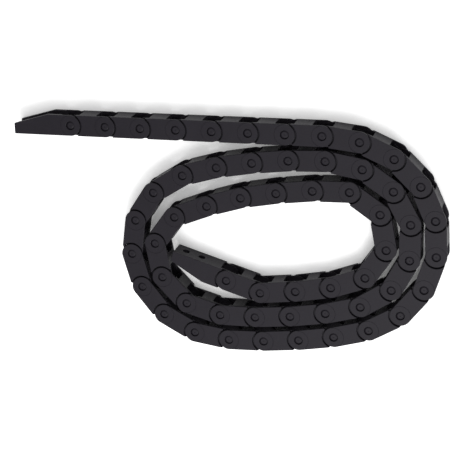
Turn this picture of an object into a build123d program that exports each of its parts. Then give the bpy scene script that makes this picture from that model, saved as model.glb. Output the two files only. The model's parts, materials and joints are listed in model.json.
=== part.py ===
"""Cable drag chain with one-piece links, lying on its side in a flat oval coil.

Millimetres. X runs along the straight end of the chain, Z along the hinge axes, the floor is z = 0.
A link is drawn with its rear hinge at the origin, its front hinge on +X and the outside of the bend on +Y.
"""

import os
from math import acos, atan2, cos, degrees, exp, hypot, radians, sin, sqrt

from build123d import *

# Chain
LINK_COUNT = 56
PITCH = 17.0  # hinge to hinge
CHANNEL_W = 7.0  # clear width along the hinge axes
CHANNEL_H = 7.0  # clear height between the two bars
BAR_T = 1.4  # the bars of a link and the base of a bracket
TONGUE_T = 0.85  # inner layer of a side wall
EAR_T = 0.85  # outer layer of a side wall
SIDE_GAP = 0.1  # between a tongue and the ear outside it
EDGE_GAP = 0.35  # between a round ear and the hollow edge around it

# Hinge
STUD_R = 1.95
STUD_FIT = 0.1  # radial play of the stud in its hole
STUD_RECESS = 0.25  # stud end below the outer face
TONGUE_SETBACK = 0.7  # stop flats of a tongue inside the round of the ear
STOP_GAP = 0.1  # between a stop flat and the wall that it meets
MAX_BEND = 56.0  # degrees

# Bars, measured from the hinges
OUTER_BAR_REAR = 4.1
OUTER_BAR_FRONT = 4.6
INNER_BAR_REAR = 5.4
INNER_BAR_FRONT = 6.0

# End brackets, measured from their hinge or their tip
BRACKET_LENGTH = 28.0
BRACKET_TIP_H = 5.0
BRACKET_SLOPE = 17.0
BASE_START = 4.4
SCREW_HOLE_R = 1.7
SCREW_TO_TIP = 5.0
SCREW_SPACING = 8.0

# Coil: parallel curves around a slim ellipse, wound inwards clockwise
CORE_MARGIN = 6.2  # what the ellipse is longer than two brackets
CORE_W = 7.6
CORE_TILT = 7.5  # degrees
CORE_GAP = 10.0  # ellipse to the curve at the spiral's start
SPIRAL_START = -1080  # degrees, direction of the curve's normal; the straight run starts at 90
INNER_BEND = 24.0  # degrees, the last link away from the curve's end
TIP_GAP = 1.83  # inner bracket's tip to the round end around it, along the core
RIGHT_GAP = 1.5  # between turns at the two round ends
LEFT_GAP = 1.7
TOP_GAP = 1.7  # between turns along the two runs
BOTTOM_GAP = 2.4
SLACK_GAP = 6.3  # how far the inner turn sags inwards
SLACK_PLACE = -602  # degrees
SLACK_SPAN = 28.4  # degrees

CORE_LENGTH = 2 * BRACKET_LENGTH + CORE_MARGIN
PLATE_H = CHANNEL_H + 2 * BAR_T
EAR_R = PLATE_H / 2
CHAIN_W = CHANNEL_W + 2 * (TONGUE_T + SIDE_GAP + EAR_T)
HOLE_R = STUD_R + STUD_FIT
TONGUE_REACH = EAR_R - TONGUE_SETBACK
STOP_FLAT = sqrt(EAR_R**2 - TONGUE_REACH**2) - STOP_GAP
WALL_SETBACK = TONGUE_REACH + STOP_GAP
REAR_HOLLOW_R = EAR_R + EDGE_GAP
EAR_REACH = REAR_HOLLOW_R + EDGE_GAP
EMBED = TONGUE_T / 4  # how far a bar reaches into a wall
NOTCH_ANGLE = 90 + degrees(acos(EAR_R / REAR_HOLLOW_R) - STOP_GAP / EAR_R) - MAX_BEND

WALL_Z = CHANNEL_W / 2
EAR_Z = CHAIN_W / 2 - EAR_T


def rear_hollow():
    """Room for the round ear of the link before, with a notch that opens for the bend."""
    side = 2 * EAR_R
    with BuildSketch() as hollow:
        Circle(REAR_HOLLOW_R)
        with BuildLine():
            Polyline(
                (0, 0),
                (side * cos(radians(NOTCH_ANGLE)), -side * sin(radians(NOTCH_ANGLE))),
                (0, -side),
                close=True,
            )
        make_face()
    return hollow.sketch


def ear():
    """Round fork end with its stud hole, about the front hinge."""
    with BuildSketch() as plate:
        Circle(EAR_R)
        with Locations((-EAR_REACH / 2, 0)):
            Rectangle(EAR_REACH, PLATE_H)
        Circle(HOLE_R, mode=Mode.SUBTRACT)
    return plate.sketch


def tongue():
    """Rear end about the rear hinge: one flat stops the chain when it is straight, one at the full bend."""
    with BuildSketch() as plate:
        with BuildLine():
            straight_stop = Line((-TONGUE_REACH, STOP_FLAT), (-TONGUE_REACH, 0))
            rim = CenterArc((0, 0), TONGUE_REACH, 180, MAX_BEND)
            bend_stop = Line(rim @ 1, rim @ 1 + (rim % 1) * STOP_FLAT)
            Polyline(
                bend_stop @ 1,
                (EAR_REACH, -CHANNEL_H / 2),
                (EAR_REACH, CHANNEL_H / 2),
                straight_stop @ 0,
            )
        make_face()
    return plate.sketch


def bracket_wall():
    """Side of an end bracket, hinge at the origin, tip on +X, its outer edge sloping down to the tip."""
    with BuildSketch() as plate:
        with BuildLine():
            Polyline(
                (0, -EAR_R),
                (BRACKET_LENGTH, -EAR_R),
                (BRACKET_LENGTH, BRACKET_TIP_H - EAR_R),
                (BRACKET_LENGTH - BRACKET_SLOPE, EAR_R),
                (0, EAR_R),
                close=True,
            )
        make_face()
    return plate.sketch


def bar(x_low, x_high, y_low):
    """Bar or base between the two walls, as a sketch seen along the hinge axes."""
    with BuildSketch() as strip:
        with Locations(((x_low + x_high) / 2, y_low + BAR_T / 2)):
            Rectangle(x_high - x_low, BAR_T)
    return strip.sketch


def screw_holes(tip_x, towards_hinge):
    """Centres of a bracket's screw holes."""
    first = tip_x + towards_hinge * SCREW_TO_TIP
    return [(first, 0), (first + towards_hinge * SCREW_SPACING, 0)]


WALL_PLANE = Plane.XY.offset(WALL_Z)
EAR_PLANE = Plane.XY.offset(EAR_Z)
STUD_PLANE = Plane.XY.offset(WALL_Z + TONGUE_T)
STUD_L = SIDE_GAP + EAR_T - STUD_RECESS
WALL_T = CHAIN_W / 2 - WALL_Z
BASE_PLANE = Plane(origin=(0, -EAR_R + BAR_T / 2, 0), x_dir=(1, 0, 0), z_dir=(0, 1, 0))

with BuildPart() as link:
    with BuildSketch(WALL_PLANE):
        with Locations(((PITCH - WALL_SETBACK) / 2, 0)):
            Rectangle(PITCH - WALL_SETBACK, PLATE_H)
        add(rear_hollow(), mode=Mode.SUBTRACT)
    extrude(amount=WALL_T)
    with BuildSketch(EAR_PLANE):
        with Locations((PITCH, 0)):
            add(ear())
    extrude(amount=EAR_T)
    with BuildSketch(WALL_PLANE):
        add(tongue())
    extrude(amount=TONGUE_T)
    with BuildSketch(STUD_PLANE):
        Circle(STUD_R)
    extrude(amount=STUD_L)
    mirror(about=Plane.XY)
    with BuildSketch():
        add(bar(OUTER_BAR_REAR, PITCH - OUTER_BAR_FRONT, EAR_R - BAR_T))
        add(bar(INNER_BAR_REAR, PITCH - INNER_BAR_FRONT, -EAR_R))
    extrude(amount=WALL_Z + EMBED, both=True)

with BuildPart() as outer_end_bracket:
    with BuildSketch(WALL_PLANE):
        add(mirror(bracket_wall(), about=Plane.YZ, mode=Mode.PRIVATE))
        with Locations((-WALL_SETBACK / 2, 0)):
            Rectangle(WALL_SETBACK, PLATE_H, mode=Mode.SUBTRACT)
    extrude(amount=WALL_T)
    with BuildSketch(EAR_PLANE):
        add(ear())
    extrude(amount=EAR_T)
    mirror(about=Plane.XY)
    with BuildSketch():
        add(bar(-BRACKET_LENGTH, -BASE_START, -EAR_R))
    extrude(amount=WALL_Z + EMBED, both=True)
    with BuildSketch(BASE_PLANE):
        with Locations(screw_holes(-BRACKET_LENGTH, 1)):
            Circle(SCREW_HOLE_R)
    extrude(amount=BAR_T, both=True, mode=Mode.SUBTRACT)

with BuildPart() as inner_end_bracket:
    with BuildSketch(WALL_PLANE):
        add(bracket_wall())
        add(rear_hollow(), mode=Mode.SUBTRACT)
    extrude(amount=WALL_T)
    with BuildSketch(WALL_PLANE):
        add(tongue())
    extrude(amount=TONGUE_T)
    with BuildSketch(STUD_PLANE):
        Circle(STUD_R)
    extrude(amount=STUD_L)
    mirror(about=Plane.XY)
    with BuildSketch():
        add(bar(BASE_START, BRACKET_LENGTH, -EAR_R))
    extrude(amount=WALL_Z + EMBED, both=True)
    with BuildSketch(BASE_PLANE):
        with Locations(screw_holes(BRACKET_LENGTH, -1)):
            Circle(SCREW_HOLE_R)
    extrude(amount=BAR_T, both=True, mode=Mode.SUBTRACT)


def route(s):
    """Point of the coil's centre line; s is the normal's direction in degrees, in millimetres past the top."""
    normal = radians(min(s, 90))
    local = normal - radians(CORE_TILT)
    a, b = CORE_LENGTH / 2, CORE_W / 2
    spread = hypot(a * cos(local), b * sin(local))
    core = Vector(a * a * cos(local) / spread, b * b * sin(local) / spread).rotate(Axis.Z, CORE_TILT)
    turns = (min(s, 90) - SPIRAL_START) / 360
    end_gap = RIGHT_GAP if cos(normal) > 0 else LEFT_GAP
    run_gap = TOP_GAP if sin(normal) > 0 else BOTTOM_GAP
    spacing = PLATE_H + end_gap * cos(normal) ** 2 + run_gap * sin(normal) ** 2
    slack = SLACK_GAP * exp(-(((min(s, 90) - SLACK_PLACE) / SLACK_SPAN) ** 2))
    distance = CORE_GAP + turns * spacing - slack
    return core + Vector(cos(normal), sin(normal)) * distance - Vector(max(s - 90, 0), 0)


def first_place(low, high, reached):
    """Smallest place on the coil, between two others, that reached(place) holds for."""
    while high - low > 1e-7:
        middle = (low + high) / 2
        if reached(middle):
            high = middle
        else:
            low = middle
    return high


def next_place(s):
    """Place of the next hinge towards the outer end."""
    return first_place(s, s + 120, lambda place: (route(place) - route(s)).length > PITCH)


def last_link(s):
    """The last link, towards the inner end, if the last hinge but one is at s."""
    return (route(s) - route(next_place(s))).rotate(Axis.Z, -INNER_BEND)


def tip_gap(s):
    """Room that the inner bracket's tip then has, along the core, at the round end one turn out."""
    tip = route(s) + last_link(s).normalized() * (PITCH + BRACKET_LENGTH)
    return (tip - route(SPIRAL_START + 540)).rotate(Axis.Z, -CORE_TILT).X - EAR_R


def hinge_points():
    """Hinges one pitch apart along the coil, from the inner end to the outer end."""
    bottom = SPIRAL_START + 270
    s = first_place(bottom - 30, bottom + 90, lambda place: tip_gap(place) > TIP_GAP)
    points = [route(s) + last_link(s), route(s)]
    while len(points) < LINK_COUNT + 1:
        s = next_place(s)
        points.append(route(s))
    return points


hinges = hinge_points()[::-1]
headings = [degrees(atan2((b - a).Y, (b - a).X)) for a, b in zip(hinges, hinges[1:])]
lift = Vector(0, 0, CHAIN_W / 2)
pieces = {"outer_end_bracket": (outer_end_bracket, hinges[0], headings[0])}
for number, (hinge, heading) in enumerate(zip(hinges, headings), 1):
    pieces[f"link_{number:02d}"] = (link, hinge, heading)
pieces["inner_end_bracket"] = (inner_end_bracket, hinges[-1], headings[-1])

boxes = [kind.part.moved(Location(spot, (0, 0, turn))).bounding_box() for kind, spot, turn in pieces.values()]
centre = Vector(
    (min(box.min.X for box in boxes) + max(box.max.X for box in boxes)) / 2,
    (min(box.min.Y for box in boxes) + max(box.max.Y for box in boxes)) / 2,
)

os.makedirs("parts", exist_ok=True)
for name, (kind, spot, turn) in pieces.items():
    with BuildPart() as node:
        with Locations(Location(spot - centre + lift, (0, 0, turn))):
            add(kind.part)
    node.part.label = name
    export_step(node.part, f"parts/{name}.step")
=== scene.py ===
"""Looks of the cable drag chain, in black nylon.

Every moulding has rounded edges, snap studs and round ears.
"""

import json
from math import atan2, pi, radians

import bmesh
import bpy
from mathutils import Matrix, Vector


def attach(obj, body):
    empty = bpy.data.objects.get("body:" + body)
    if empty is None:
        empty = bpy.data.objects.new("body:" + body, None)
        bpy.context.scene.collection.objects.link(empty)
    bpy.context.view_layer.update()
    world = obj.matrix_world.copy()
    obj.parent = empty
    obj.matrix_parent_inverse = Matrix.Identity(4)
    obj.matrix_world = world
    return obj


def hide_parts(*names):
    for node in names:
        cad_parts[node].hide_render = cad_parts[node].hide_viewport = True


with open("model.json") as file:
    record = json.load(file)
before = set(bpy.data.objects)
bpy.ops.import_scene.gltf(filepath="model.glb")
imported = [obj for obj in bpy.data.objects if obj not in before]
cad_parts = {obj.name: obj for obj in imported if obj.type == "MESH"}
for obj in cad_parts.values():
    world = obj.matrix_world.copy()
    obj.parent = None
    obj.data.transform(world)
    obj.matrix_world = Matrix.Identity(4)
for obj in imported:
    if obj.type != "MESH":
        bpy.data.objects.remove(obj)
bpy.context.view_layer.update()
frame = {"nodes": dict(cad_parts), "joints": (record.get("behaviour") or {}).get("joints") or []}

MM = 0.001

# The chain's own measures, in millimetres
LINK_COUNT = 56
PITCH = 17.0
EAR_R = 4.9
HALF_WIDTH = 5.3
STUD_END_Z = 5.05

# Snap stud: a short bearing, a lead-in cone, a flat end with a gate dimple
CONE_DROP = 0.42
CONE_INSET = 0.68
DIMPLE_INSET = 0.9
DIMPLE_SLOPE = 0.1
DIMPLE_DEPTH = 0.12

# Fine line that sets the round ear off from its side plate
LINE_WIDTH = 0.16
LINE_DEPTH = 0.1
LINE_SEGMENTS = 2
EAR_STEPS = 21

# Rounded edges
EDGE_ROUND = 0.13
EDGE_SEGMENTS = 2
ROUND_PROFILE = 0.5
SHORT_EDGE = 0.2
SHARP = radians(28)
FLAT = radians(1)

# Shadow gap around the round ear of the link before, in the outer layer of a side wall
HOLLOW_R = 5.25
HOLLOW_WIDER = 0.3
LAYER_Z = 4.3
TIP_BLUNT = 0.9
EAR_TRIM = 0.18
GAP_FLOOR_Z = 4.35
GAP_DEEPER = 0.4

# Webs of the inner layer that keep light out of that gap at the two edges of the plate
WEB_Z = 3.5
WEB_T = 0.45
OUTER_WEB = ((-1.2, 3.25), (1.75, 4.8), (4.4, 4.8), (4.4, 3.4))
INNER_WEB = ((-0.2, -4.7), (1.0, -4.0), (4.4, -3.7), (3.9, -4.82))

# Millimetres, for finding what lies on a plane or a circle
TINY = 1e-3
NEAR = 10 * TINY

# Black nylon
NYLON_DARK = (0.0070, 0.0057, 0.0088, 1)
NYLON_PALE = (0.0224, 0.0196, 0.0264, 1)
# Lighter colour of scuffs (wear) and of rounded edges (wear and a painted highlight)
NYLON_WORN_AND_SHEEN = (0.034, 0.032, 0.037, 1)
NYLON_SPECK = (0.008, 0.0070, 0.0095, 1)
NYLON_ROUGH = 0.42
NYLON_IOR = 1.5
NYLON_SPECULAR = 0.16
GRAIN_STRENGTH = 0.7
GRAIN_HEIGHT = 0.00004

# Floor, in metres
FLOOR_SIZE = 30.0
FLOOR_Z = -0.0002
PAPER = (0.93, 0.93, 0.93, 1)
PAPER_GLOW = 0.58
SHADE_REACH = 0.012
SHADE_SAMPLES = 16

# Light, in metres and watts
LAMP_PLACE = (0.35, -0.7, 1.0)
LAMP_SIZE = 0.9
LAMP_POWER = 16.4
SKY = (1, 1, 1, 1)
SKY_STRENGTH = 0.5

# Camera: lens and sensor in millimetres, place in metres, turns in degrees
LENS = 104.3
SENSOR = 36.0
CAMERA_PLACE = (0.16116, 0.21023, 0.58983)
CAMERA_TURN_Z = -1.481
CAMERA_TURN_Y = 14.583
CAMERA_TURN_X = -19.587


class Value:
    """A socket's value; sums, differences and products of values add Math nodes."""

    def __init__(self, finish, socket):
        self.finish = finish
        self.socket = socket

    def maths(self, operation, first, second):
        node = self.finish.node("ShaderNodeMath", {"operation": operation}, {0: first, 1: second})
        return Value(self.finish, node.outputs[0])

    def __add__(self, other):
        return self.maths("ADD", self, other)

    __radd__ = __add__

    def __sub__(self, other):
        return self.maths("SUBTRACT", self, other)

    def __rsub__(self, other):
        return self.maths("SUBTRACT", other, self)

    def __mul__(self, other):
        return self.maths("MULTIPLY", self, other)

    __rmul__ = __mul__

    def most(self, other):
        return self.maths("MAXIMUM", self, other)


class Finish:
    """A material and its nodes."""

    def __init__(self, name):
        self.material = bpy.data.materials.new(name)
        self.material.use_nodes = True
        self.tree = self.material.node_tree
        self.tree.nodes.clear()

    def node(self, kind, settings=None, sockets=None):
        node = self.tree.nodes.new(kind)
        for name, value in (settings or {}).items():
            if name == "stops":
                ramp = node.color_ramp
                while len(ramp.elements) < len(value):
                    ramp.elements.new(0.5)
                for stop, (place, grey) in zip(ramp.elements, value):
                    stop.position = place
                    stop.color = (grey, grey, grey, 1)
            else:
                setattr(node, name, value)
        for name, value in (sockets or {}).items():
            if isinstance(value, Value):
                self.tree.links.new(value.socket, node.inputs[name])
            elif isinstance(value, bpy.types.NodeSocket):
                self.tree.links.new(value, node.inputs[name])
            else:
                node.inputs[name].default_value = value
        return node

    def value(self, node, name=0):
        return Value(self, node.outputs[name])

    def noise(self, place, scale, detail, roughness):
        node = self.node(
            "ShaderNodeTexNoise",
            {"noise_dimensions": "3D"},
            {"Vector": place, "Scale": scale, "Detail": detail, "Roughness": roughness},
        )
        return self.value(node)

    def ramp(self, value, *stops):
        return self.value(self.node("ShaderNodeValToRGB", {"stops": stops}, {0: value}))

    def blend(self, factor, first, second):
        node = self.node(
            "ShaderNodeMix",
            {"data_type": "RGBA"},
            {"Factor": factor, 6: first, 7: second},
        )
        return node.outputs[2]

    def surface(self, shader):
        self.node("ShaderNodeOutputMaterial", None, {"Surface": shader.outputs[0]})


def black_nylon():
    """Charcoal moulded nylon: eroded-mould grain, faint clouding, rounded edges painted lighter for wear
    and as a painted highlight.
    """
    finish = Finish("black_nylon")
    place = finish.node("ShaderNodeTexCoord").outputs["Object"]
    # Rounded edge faces, painted lighter for wear and as a painted highlight
    rubbed = finish.value(finish.node("ShaderNodeAttribute", {"attribute_name": "rubbed"}), "Fac")
    cloud = finish.noise(place, scale=55.0, detail=3.0, roughness=0.55)
    grain = finish.noise(place, scale=4200.0, detail=2.0, roughness=0.6)
    flow = finish.noise(place, scale=420.0, detail=4.0, roughness=0.6)
    scratches = finish.noise(place, scale=900.0, detail=5.0, roughness=0.7)
    scuffs = finish.ramp(scratches, (0.58, 0.0), (0.78, 1.0))
    fleck = finish.noise(place, scale=1500.0, detail=3.0, roughness=0.6)
    mottle = cloud * 0.3 + flow * 0.3 + fleck * 0.4
    tone = finish.blend(mottle, NYLON_DARK, NYLON_PALE)
    # Scuffs painted lighter for wear; rounded edges painted lighter for wear and as a painted highlight
    worn_and_sheen = finish.blend(rubbed * 0.3 + scuffs * 0.1, tone, NYLON_WORN_AND_SHEEN)
    speckled = finish.blend(grain * 0.3, worn_and_sheen, NYLON_SPECK)
    rough = NYLON_ROUGH + cloud * 0.1 + flow * 0.08 - rubbed * 0.05
    bump = finish.node(
        "ShaderNodeBump",
        None,
        {"Strength": GRAIN_STRENGTH, "Distance": GRAIN_HEIGHT, "Height": grain + flow * 0.6},
    )
    shader = finish.node(
        "ShaderNodeBsdfPrincipled",
        None,
        {
            "Base Color": speckled,
            "Roughness": rough,
            "IOR": NYLON_IOR,
            "Specular IOR Level": NYLON_SPECULAR,
            "Normal": bump.outputs[0],
        },
    )
    finish.surface(shader)
    return finish.material


def pale_floor():
    """Near-white paper that takes a soft shadow; ambient occlusion dims its glow near the chain and
    between the turns, a painted shade that keeps it dark there.
    """
    finish = Finish("pale_floor")
    path = finish.node("ShaderNodeLightPath")
    seen = finish.value(path, "Is Camera Ray").most(finish.value(path, "Is Glossy Ray"))
    seen = seen.most(finish.value(path, "Is Transmission Ray"))
    paper = finish.node("ShaderNodeBsdfDiffuse", None, {"Color": PAPER})
    # Painted shade: ambient occlusion darkens the glow near the chain and in the gaps between turns
    painted_floor_shade = finish.node(
        "ShaderNodeAmbientOcclusion",
        {"samples": SHADE_SAMPLES},
        {"Distance": SHADE_REACH},
    )
    glow = finish.node(
        "ShaderNodeEmission",
        None,
        {"Color": painted_floor_shade.outputs["Color"], "Strength": seen * PAPER_GLOW},
    )
    both = finish.node("ShaderNodeAddShader", None, {0: paper.outputs[0], 1: glow.outputs[0]})
    finish.surface(both)
    return finish.material


def drawn(node, place):
    """Merged copy of a CAD node, back in the frame that it was drawn in, in millimetres."""
    bm = bmesh.new()
    bm.from_mesh(frame["nodes"][node].data)
    bmesh.ops.transform(bm, matrix=place.inverted(), verts=bm.verts)
    bmesh.ops.remove_doubles(bm, verts=bm.verts, dist=TINY)
    bmesh.ops.dissolve_limit(bm, angle_limit=FLAT, verts=bm.verts, edges=bm.edges)
    # Layer that marks the rounded edge faces, painted lighter for wear and as a painted highlight
    bm.faces.layers.float.new("rubbed")
    return bm


def on_level(bm, level):
    """Faces that lie flat at one height."""
    return [face for face in bm.faces if all(abs(vert.co.z - level) < TINY for vert in face.verts)]


def keep_crisp(faces):
    """Marks the edges of fine detail, which stays as it is drawn."""
    for face in faces:
        for edge in face.edges:
            edge.smooth = False


def snap_studs(bm):
    """Turns the plain ends of both studs, about the origin, into lead-in cones with a dimple."""
    for side in (1, -1):
        end = on_level(bm, side * STUD_END_Z)
        rim = list({vert for face in end for vert in face.verts})
        bmesh.ops.translate(bm, vec=(0, 0, -side * CONE_DROP), verts=rim)
        for inset, rise in ((CONE_INSET, CONE_DROP), (DIMPLE_INSET, 0.0), (DIMPLE_SLOPE, -DIMPLE_DEPTH)):
            ring = bmesh.ops.inset_region(bm, faces=end, thickness=inset, depth=rise, use_even_offset=True)
            keep_crisp(ring["faces"])


def widen_hollows(bm):
    """Opens and deepens the shadow gap around the ear of the link before, and blunts its outer tips."""
    for vert in bm.verts:
        if abs(vert.co.xy.length - HOLLOW_R) > NEAR:
            continue
        if abs(vert.co.z) > LAYER_Z:
            vert.co.x = ((HOLLOW_R + HOLLOW_WIDER) ** 2 - vert.co.y**2) ** 0.5
        if vert.co.y > EAR_R - TINY:
            vert.co.x += TIP_BLUNT
    for side in (1, -1):
        floor = [vert for vert in bm.verts if abs(vert.co.z - side * GAP_FLOOR_Z) < TINY]
        bmesh.ops.translate(bm, vec=(0, 0, -side * GAP_DEEPER), verts=floor)


def trim_ears(bm, hinge_x):
    """Draws the front of both ears back a little, about the hinge at hinge_x, for the same gap."""
    for vert in bm.verts:
        ahead = vert.co.x - hinge_x
        if ahead <= 0 or abs(vert.co.z) <= LAYER_Z:
            continue
        if abs(Vector((ahead, vert.co.y)).length - EAR_R) < NEAR:
            vert.co.x -= EAR_TRIM * ahead / EAR_R


def gap_webs(bm):
    """Adds the webs behind both edges of the gap, about the origin."""
    for side in (1, -1):
        for outline in (OUTER_WEB, INNER_WEB):
            corners = [bm.verts.new((x, y, side * WEB_Z)) for x, y in outline]
            sheet = bmesh.ops.contextual_create(bm, geom=corners)["faces"]
            raised = bmesh.ops.extrude_face_region(bm, geom=sheet, use_keep_orig=True)["geom"]
            top = [item for item in raised if isinstance(item, bmesh.types.BMVert)]
            bmesh.ops.translate(bm, vec=(0, 0, side * WEB_T), verts=top)
            web = {face for vert in top + corners for face in vert.link_faces}
            bmesh.ops.recalc_face_normals(bm, faces=list(web))


def ear_lines(bm, hinge_x):
    """Draws a fine half-round groove behind both ears, about the hinge at hinge_x.

    It comes after the rounding of the edges and runs between them.
    """
    line_r = EAR_R - EDGE_ROUND
    rubbed = bm.faces.layers.float["rubbed"]
    for side in (1, -1):
        centre = Vector((hinge_x, 0, side * HALF_WIDTH))
        bmesh.ops.delete(bm, geom=on_level(bm, centre.z), context="FACES")
        start = bm.verts.new(centre + Vector((0, line_r, 0)))
        bmesh.ops.spin(bm, geom=[start], cent=centre, axis=(0, 0, 1), angle=pi, steps=EAR_STEPS)
        level = [vert for vert in bm.verts if abs(vert.co.z - centre.z) < TINY]
        bmesh.ops.remove_doubles(bm, verts=level, dist=NEAR)
        rim = [e for e in bm.edges if all(abs(v.co.z - centre.z) < TINY for v in e.verts)]
        line = [edge for edge in rim if not edge.link_faces]
        hole, front, plate = [], [], []
        for edge in rim:
            if not edge.link_faces:
                continue
            reach = max((vert.co - centre).length for vert in edge.verts)
            rearmost = min(vert.co.x for vert in edge.verts)
            if reach < line_r / 2:
                hole.append(edge)
            elif reach < line_r + NEAR and rearmost > hinge_x - NEAR:
                front.append(edge)
            else:
                plate.append(edge)
        spokes = []
        for pick in (max, min):
            outer = pick({vert for edge in line for vert in edge.verts}, key=lambda vert: vert.co.y)
            inner = pick({vert for edge in hole for vert in edge.verts}, key=lambda vert: vert.co.y)
            spokes += bmesh.ops.contextual_create(bm, geom=[outer, inner])["edges"]
        ahead = [edge for edge in hole if sum(vert.co.x for vert in edge.verts) > 2 * inner.co.x]
        back = [edge for edge in hole if edge not in ahead]
        for loop in (front + ahead + spokes, line + back + spokes, line + plate):
            bmesh.ops.contextual_create(bm, geom=loop)
        groove = bmesh.ops.bevel(
            bm,
            geom=line,
            offset=LINE_WIDTH / 2,
            offset_type="OFFSET",
            affect="EDGES",
            segments=LINE_SEGMENTS,
            profile=ROUND_PROFILE,
            material=-1,
        )
        behind = [vert for vert in groove["verts"] if vert.co.x < hinge_x - LINE_WIDTH]
        middle = [vert for vert in behind if abs((vert.co - centre).length - line_r) < NEAR]
        bmesh.ops.translate(bm, vec=(0, 0, -side * LINE_DEPTH), verts=middle)
        for vert in groove["verts"]:
            vert.co.y = max(-line_r, min(line_r, vert.co.y))
        keep_crisp(groove["faces"])
        for face in groove["faces"] + on_level(bm, centre.z):
            face[rubbed] = 0.0
    bmesh.ops.recalc_face_normals(bm, faces=bm.faces)


def round_edges(bm):
    """Rounds every sharp edge that has the room and marks the rounded faces, which the material paints
    lighter for wear and as a painted highlight.
    """
    bm.normal_update()
    sharp = [edge for edge in bm.edges if edge.smooth and edge.calc_face_angle(0) > SHARP]
    cramped = {vert for edge in sharp if edge.calc_length() < SHORT_EDGE for vert in edge.verts}
    sharp = [edge for edge in sharp if not cramped.intersection(edge.verts)]
    made = bmesh.ops.bevel(
        bm,
        geom=sharp,
        offset=EDGE_ROUND,
        offset_type="OFFSET",
        affect="EDGES",
        segments=EDGE_SEGMENTS,
        profile=ROUND_PROFILE,
        material=-1,
        clamp_overlap=False,
    )
    rubbed = bm.faces.layers.float["rubbed"]
    for face in made["faces"]:
        face[rubbed] = 1.0


def shade(bm):
    """Lets rounded and curved faces run smoothly into each other, and leaves flat ones flat."""
    bm.normal_update()
    rubbed = bm.faces.layers.float["rubbed"]
    for face in bm.faces:
        near = {other for edge in face.edges if edge.smooth for other in edge.link_faces}
        bent = any(FLAT < face.normal.angle(other.normal) < SHARP for other in near if not other[rubbed])
        face.smooth = bent or face[rubbed] > 0


def settled(bm, place, name, node):
    """Puts a moulding in its place and makes it stand for its node."""
    mesh = bpy.data.meshes.new(name)
    copy = bm.copy()
    bmesh.ops.transform(copy, matrix=place, verts=copy.verts)
    copy.to_mesh(mesh)
    copy.free()
    mesh.materials.append(NYLON)
    piece = bpy.data.objects.new(name, mesh)
    bpy.context.scene.collection.objects.link(piece)
    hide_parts(node)
    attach(piece, node)


def placed(hinge, turn):
    """Matrix from a drawing, in millimetres, to its place in the chain."""
    return Matrix.Translation(hinge) @ Matrix.Rotation(turn, 4, "Z") @ Matrix.Scale(MM, 4)


def heading(start, end):
    """Angle about the vertical at which a link points from one hinge to the next."""
    return atan2(end.y - start.y, end.x - start.x)


NYLON = black_nylon()

hinges = {joint["name"]: Vector(joint["pos_m"]) for joint in frame["joints"]}
hinge = [hinges[f"hinge_{number:02d}"] for number in range(1, LINK_COUNT + 2)]
turns = [heading(start, end) for start, end in zip(hinge, hinge[1:])]

first_place = placed(hinge[0], turns[0])
link_shape = drawn("link_01", first_place)
snap_studs(link_shape)
widen_hollows(link_shape)
trim_ears(link_shape, PITCH)
round_edges(link_shape)
ear_lines(link_shape, PITCH)
gap_webs(link_shape)
shade(link_shape)
for number, (start, turn) in enumerate(zip(hinge, turns), 1):
    settled(link_shape, placed(start, turn), f"moulded_link_{number:02d}", f"link_{number:02d}")

outer_shape = drawn("outer_end_bracket", first_place)
trim_ears(outer_shape, 0.0)
round_edges(outer_shape)
ear_lines(outer_shape, 0.0)
shade(outer_shape)
settled(outer_shape, first_place, "moulded_outer_bracket", "outer_end_bracket")

last_place = placed(hinge[-1], turns[-1])
inner_shape = drawn("inner_end_bracket", last_place)
snap_studs(inner_shape)
widen_hollows(inner_shape)
round_edges(inner_shape)
gap_webs(inner_shape)
shade(inner_shape)
settled(inner_shape, last_place, "moulded_inner_bracket", "inner_end_bracket")

# Floor
floor_shape = bmesh.new()
bmesh.ops.create_grid(floor_shape, x_segments=1, y_segments=1, size=FLOOR_SIZE)
floor_mesh = bpy.data.meshes.new("floor")
floor_shape.to_mesh(floor_mesh)
floor_shape.free()
floor_mesh.materials.append(pale_floor())
floor = bpy.data.objects.new("floor", floor_mesh)
floor.location.z = FLOOR_Z
bpy.context.scene.collection.objects.link(floor)

# Square lamp that looks at the middle of the chain, and an even sky
lamp = bpy.data.lights.new("overhead", "AREA")
lamp.size = LAMP_SIZE
lamp.energy = LAMP_POWER
lamp_holder = bpy.data.objects.new("overhead", lamp)
lamp_holder.location = LAMP_PLACE
lamp_holder.rotation_euler = Vector(LAMP_PLACE).to_track_quat("Z", "Y").to_euler()
bpy.context.scene.collection.objects.link(lamp_holder)

world = bpy.data.worlds.new("studio")
world.use_nodes = True
bpy.context.scene.world = world
sky = world.node_tree.nodes["Background"]
sky.inputs["Color"].default_value = SKY
sky.inputs["Strength"].default_value = SKY_STRENGTH

# Camera
camera = bpy.data.cameras.new("camera")
camera.lens = LENS
camera.sensor_width = SENSOR
viewer = bpy.data.objects.new("camera", camera)
viewer.matrix_world = (
    Matrix.Translation(CAMERA_PLACE)
    @ Matrix.Rotation(radians(CAMERA_TURN_Z), 4, "Z")
    @ Matrix.Rotation(radians(CAMERA_TURN_Y), 4, "Y")
    @ Matrix.Rotation(radians(CAMERA_TURN_X), 4, "X")
)
bpy.context.scene.collection.objects.link(viewer)
bpy.context.scene.camera = viewer
bpy.context.scene.view_settings.view_transform = "Standard"
